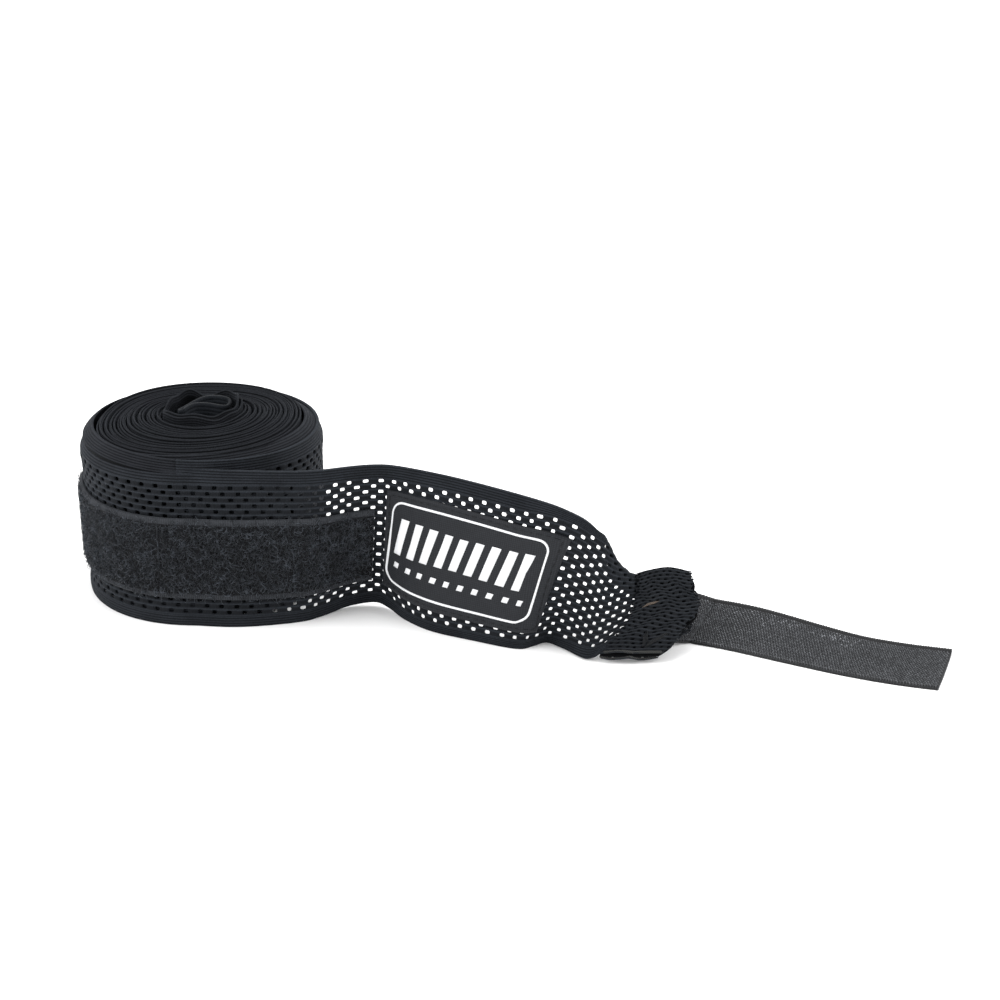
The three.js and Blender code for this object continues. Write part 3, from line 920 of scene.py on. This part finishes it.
def knit(name, dark, light, row=ROW_HEIGHT, low=NET_LOW, high=NET_HIGH, net=1.0, specular=0.08, core=0.0):
    """A fine warp knit: ribs with painted highlights along the selvages and the rows of holes, short
    stitches between.

    row is the height of a row of holes; low and high are where the net ends; net scales the tone of what
    isn't selvage, and at 0 paints it dark as painted shade.
    core is given for the inner turns: how far along the band the painted shade of the dark core begins.
    """
    material, tree, shader = surface_finish(name, 0.75, 0.04, (0.72, 0.8, 0.95), specular)
    both, u, v = flat_coordinates(tree)
    from_edge = (BAND_WIDTH + RIB) / 2 - (v - BAND_WIDTH / 2).maths("ABSOLUTE")
    # Painted highlights: the tops of the selvage ribs and the lines between the rows of holes are painted
    # lighter, the rows of holes darker.
    edge_rib_highlight = wave(from_edge, RIB) * 0.85
    row_rib_highlight = (1.0 - wave(v - low, row)) ** 2.5 * (1.3 * net) + 0.3 * net
    rib = node(tree, "ShaderNodeMix", {0: beyond(v, low, high), 2: row_rib_highlight, 3: edge_rib_highlight}).outputs[0]
    stitch = wave(u + noise(tree, both, 1.7, 2.0) * 0.4, 0.45)
    grain = noise(tree, both, 2.4, 2.0)
    cloudy = noise(tree, both, 0.12, 4.0)
    tone = (stitch * 0.15 + (grain - 0.4) + 0.5) * rib * (cloudy * 1.6 + 0.6)
    if core:
        # Painted shade: the turns inside the second one are painted darker than it, and past core the inner
        # turns are painted nearly black below 48 mm.
        lit_second_turn = ((u + 570.0) * 0.008).maths("MAXIMUM", 0.0).maths("MINIMUM", 1.0)
        painted_core_shade = u.maths("LESS_THAN", core) * v.maths("LESS_THAN", 48.0) * 0.88
        tone = tone * (lit_second_turn * 0.45 + 1.0) * (1.0 - painted_core_shade)
    paint(tree, shader, tone, dark, light)
    set_bump(tree, shader, stitch + grain, 0.00006)
    return material


def fibre(name, dark, light, power, roughness, sheen, specular=0.15, clumped=1.0):
    """Loose fibres, each with its own shade: most are dark, a few light, and they felt in clumps."""
    material, tree, shader = surface_finish(name, roughness, sheen, (0.75, 0.82, 0.92), specular)
    _, shade, _ = flat_coordinates(tree)
    place = node(tree, "ShaderNodeTexCoord").outputs["Object"]
    own = shade**power + noise(tree, place, 900.0, 2.0) * 0.2
    clumps = ((noise(tree, place, 420.0, 3.0) - 0.34) * 3.2).maths("MAXIMUM", 0.15)
    paint(tree, shader, own * ((clumps - 1.0) * clumped + 1.0), dark, light)
    return material


def woven(name, dark, light, warp, weft, specular=0.15, border=None):
    """A flat weave with its threads at the given spacings along u and v.

    border is where the weave changes along both edges, and how strong it is inside and outside that.
    """
    material, tree, shader = surface_finish(name, 0.6, 0.04, (0.85, 0.88, 0.95), specular)
    both, u, v = flat_coordinates(tree)
    threads = wave(u, warp) * wave(v, weft)
    tone = threads * 0.7 + noise(tree, both, 0.35, 4.0) * 0.3
    if border:
        low, high, inside, outside = border
        tone = tone * (beyond(v, low, high) * (outside - inside) + inside)
    paint(tree, shader, tone, dark, light)
    set_bump(tree, shader, threads, 0.00005)
    return material


def thread_finish(name, dark, light):
    """Twisted sewing thread."""
    material, tree, shader = surface_finish(name, 0.5, 0.05, (0.8, 0.84, 0.9), 0.14)
    place = node(tree, "ShaderNodeTexCoord").outputs["Object"]
    twist = node(tree, "ShaderNodeTexWave", {"Vector": place, "Scale": 900.0}, bands_direction="DIAGONAL")
    paint(tree, shader, twist.outputs["Fac"], dark, light)
    set_bump(tree, shader, twist.outputs["Fac"], 0.00005)
    return material


BAND = knit("band_knit", (0.0012, 0.0014, 0.0018), (0.0185, 0.0214, 0.0262))
# Painted shade: a darker copy of the band's knit for the inner turns; their hidden net is painted dark, the
# turns inside the second one darker and the core nearly black.
INNER_SHADED = knit("inner_knit_shaded", (0.0007, 0.0008, 0.0010), (0.0150, 0.0162, 0.0192), net=0.0, specular=0.04,
             core=-wound(27.3))
FOLDED = knit("folded_knit", (0.0012, 0.0014, 0.0017), (0.0140, 0.0162, 0.0197), HEM_ROW, 0.0, 100.0)
# Painted shade: the layer folded inside the end is the band's cloth, painted near black for the shade inside
# the fold.
INSIDE_SHADED = woven("inside_knit_shaded", (0.0008, 0.0009, 0.0011), (0.0025, 0.0027, 0.0032), 0.5, 0.03, 0.03)
THUMB = woven("thumb_rib", (0.0034, 0.0041, 0.0052), (0.0215, 0.0250, 0.0310), 0.7, 1.25, 0.08)
TAPE_BORDERS = (TAPE_LOW + TAPE_BORDER, TAPE_LOW + TAPE_WIDTH - TAPE_BORDER, 0.3, 2.6)
TAPE_GROUND = woven("tape_ground", (0.0020, 0.0022, 0.0027), (0.0310, 0.0335, 0.0385),
                    WHIP_PITCH, 90.0, 0.08, TAPE_BORDERS)
PILE = fibre("tape_pile", (0.0012, 0.0015, 0.0020), (0.0780, 0.0900, 0.1080), 2.4, 0.6, 0.2)
SATIN = woven("label_black", (0.0035, 0.0041, 0.0054), (0.0175, 0.0194, 0.0240), 0.62, 0.62, 0.2)
WHITE = woven("label_white", (0.62, 0.63, 0.65), (0.86, 0.87, 0.88), 0.5, 0.3, 0.4)
THREAD = thread_finish("black_thread", (0.0022, 0.0025, 0.0031), (0.0060, 0.0067, 0.0080))
EDGE_THREAD = thread_finish("edge_thread", (0.0100, 0.0102, 0.0100), (0.0420, 0.0425, 0.0405))
TACK_THREAD = thread_finish("brown_thread", (0.030, 0.023, 0.018), (0.120, 0.092, 0.072))
HOOK_GROUND = woven("hook_ground", (0.0050, 0.0052, 0.0058), (0.0330, 0.0340, 0.0370), 0.82, 0.84, 0.2,
                    (-1.0, STRAP_WIDTH - 1.6, 1.0, 0.5))
HOOKS = fibre("hook_nylon", (0.0120, 0.0128, 0.0145), (0.2500, 0.2600, 0.2800), 2.0, 0.4, 0.02, 0.4, 0.1)


# ---- Putting the pieces on their bodies ----


def bend_from_cut(piece, hole, heading, length):
    """Works out where one of the band's cuts lies and which way the piece heads from it, then only bakes the
    piece's transform; nothing is bent.
    """
    ends, _ = on_band(np.full(2, hole * HOLE_PITCH), np.array([0, BAND_WIDTH]))
    across = unit(ends[1] - ends[0])
    heading = unit(np.array(heading) - across * np.dot(heading, across))
    start = ends.mean(axis=0) + heading * 0.3
    to_row(start + heading * length)
    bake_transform(piece)


def peel(piece):
    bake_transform(piece)


def crease(piece):
    bend_from_cut(piece, CUT_PANEL, (1, -0.4, 0), 2.4)


def neck(piece):
    bend_from_cut(piece, CUT_NECK, (1, -0.15, 0), 17)


def strap_fold(piece):
    (root, further), _ = on_strap(np.array([0.0, 9.0]), np.full(2, STRAP_WIDTH / 2))
    reach = (further - root) * 0.35
    to_row(root - reach)
    to_row(root + reach)
    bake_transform(piece)


def put(piece, mount, replaced=()):
    """Hides the CAD nodes the piece stands for, then parents it to its body or passes it to its mount
    function.
    """
    if replaced:
        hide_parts(*replaced)
    if callable(mount):
        mount(piece)
    else:
        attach(piece, mount)
    return piece


def sheet(long):
    """Takes a piece's flat length in millimetres and does nothing with it."""
    long * MM


def build_band():
    turns = put(inner_turns(), "roll", ["rolled_band"])
    sheet(wound(TURNS) + CUT_TURN * HOLE_PITCH)
    stretches = [
        ("band_outer_turn", CUT_TURN, CUT_LEAD, "roll", (), "folded"),
        ("band_lead_cloth", CUT_LEAD, CUT_PANEL, peel, ["band_lead"], "laid"),
        ("band_panel_cloth", CUT_PANEL, CUT_NECK, crease, ["band_panel"], "laid"),
        ("band_neck_cloth", CUT_NECK, CUT_END, neck, (), "gathered"),
    ]
    for name, first, last, mount, nodes, held in stretches:
        piece = put(net_cloth(name, first, last), mount, nodes)
        sheet((last - first) * HOLE_PITCH)
    hem = put(folded_end(), "folded_end", ["band_folded_end"])
    inside = put(folded_in(), "folded_end")
    edges = put(folded_edges(), "folded_end")
    sheet(30)


def build_tape():
    split = CUT_LEAD * HOLE_PITCH
    stretches = [("roll", TAPE_START, split, "roll", 11), ("lead", split, TAPE_END, peel, 12)]
    for name, start, end, mount, seed in stretches:
        nodes = [f"loop_tape_{part}on_{name}" for part in ("", "lower_seam_", "upper_seam_")]
        fuzz = put(pile(f"tape_pile_on_{name}", start, end, seed), mount)
        ground = put(loop_tape(f"tape_ground_on_{name}", start, end), mount, nodes)
        sheet(end - start)


def build_label():
    satin = label_sheet()
    border = put(raised("label_woven_frame", frame_patches()), crease)
    motif = put(raised("label_woven_motif", motif_patches()), crease)
    inset = 1.3
    right, top = LABEL_LONG - inset, LABEL_HEIGHT - inset
    corners = [(inset, inset), (right, inset), (right, top), (inset, top), (inset, inset)]
    corners = [on_label(*corner) for corner in corners]
    seam = stitches("label_stitches", on_band, *run_along(corners), LABEL_FACE - 0.12, THREAD, 0.11)
    put(seam, crease, ["label_stitching"])
    put(satin, crease, ["label"])
    sheet(LABEL_HEIGHT)


def build_strap():
    field = put(hooks("hook_tape_hooks", 6.2, STRAP_LENGTH - 0.6, 31), "strap")
    root = put(hooks("hook_tape_root_hooks", -7.5, 5.8, 32), strap_fold)
    ground = put(hook_ground(), strap_fold, ["hook_strap", "hook_strap_root"])
    sheet(STRAP_LENGTH + ROOT_LENGTH)


def build_bar_tacks():
    """Rows of thread that close the folded end over the strap: a V low down and a light bar higher up."""
    rise = 0.018 * (np.arange(4) - 1.5)
    starts = [(u, v + up) for u, v in ((8.6, 0.26), (15.2, 0.27)) for up in rise]
    ends = [(u, v + up) for u, v in ((11.2, 0.12), (11.6, 0.12)) for up in rise]
    lower = stitches("bar_tack_lower_thread", on_folded_end, starts, ends, 1.8, THREAD, 0.14)
    put(lower, "folded_end", ["bar_tack_lower"])
    starts = [(3.6 + 0.5 * k, 0.56 + 0.015 * k) for k in range(3)]
    ends = [(7.8 + 0.3 * k, 0.60 + 0.008 * k) for k in range(3)]
    upper = stitches("bar_tack_upper_thread", on_folded_end, starts, ends, 2.05, TACK_THREAD, 0.14)
    put(upper, "folded_end", ["bar_tack_upper"])


def build_thumb_loop():
    tape = put(thumb_loop(), "roll", ["thumb_loop"])

    def back_strand(u, v):
        point = np.stack([-4.2 + 2.4 * u, 0.6 + 2.0 * u, 44 + v], -1)
        return point, np.tile([0.64, -0.77, 0.0], (len(u), 1))

    starts, ends = ([(side, height) for height in np.linspace(-4, 4, 17)] for side in (0, 1))
    tack = put(stitches("thumb_loop_tack", back_strand, starts, ends, 0, THREAD, 0.22), "roll",
               ["thumb_loop_bar_tack"])
    sheet(36)


# ---- Stage, light and camera ----


def stage():
    reach = 6.0
    mesh = bpy.data.meshes.new("floor")
    corners = [(-reach, -reach, 0), (reach, -reach, 0), (reach, reach, 0), (-reach, reach, 0)]
    mesh.from_pydata(corners, [], [(0, 1, 2, 3)])
    material, tree, shader = surface_finish("paper", 0.9, 0.0, (1, 1, 1), 0.1)
    grain = noise(tree, node(tree, "ShaderNodeTexCoord").outputs["Object"], 60.0, 3.0)
    paint(tree, shader, grain, (0.93, 0.93, 0.93), (0.96, 0.96, 0.96))
    mesh.materials.append(material)
    add_object("floor", mesh)


def lamp(name, place, size, power):
    """A round softbox that looks at the frame's origin."""
    data = bpy.data.lights.new(name, "AREA")
    data.shape = "DISK"
    data.size = size
    data.energy = power
    light = add_object(name, data)
    light.location = place
    light.rotation_euler = (-Vector(place)).to_track_quat("-Z", "Y").to_euler()


def studio():
    world = bpy.data.worlds.new("studio")
    world.use_nodes = True
    sky = world.node_tree.nodes["Background"].inputs
    sky["Color"].default_value = (1, 1, 1, 1)
    sky["Strength"].default_value = 1.0
    bpy.context.scene.world = world
    bpy.context.scene.view_settings.view_transform = "Standard"
    lamp("left_softbox", (-0.9, -0.35, 0.7), 0.9, 9)
    lamp("right_softbox", (0.95, -0.25, 0.65), 0.9, 8)
    lamp("top_softbox", (0.0, 0.3, 1.2), 1.0, 9)


CAMERA_LOCAL = (92.29, -563.41, 257.58)
CAMERA_PITCH = 22.4
CAMERA_LENS = 69.7


def camera():
    data = bpy.data.cameras.new("camera")
    data.lens = CAMERA_LENS
    data.sensor_width = 36
    data.clip_start = 0.01
    view = add_object("camera", data)
    view.location = to_row(CAMERA_LOCAL)
    view.rotation_euler = (math.radians(90 - CAMERA_PITCH), 0, 0)
    bpy.context.scene.camera = view


camera()
studio()
stage()
build_band()
build_tape()
build_label()
build_strap()
build_bar_tacks()
build_thumb_loop()
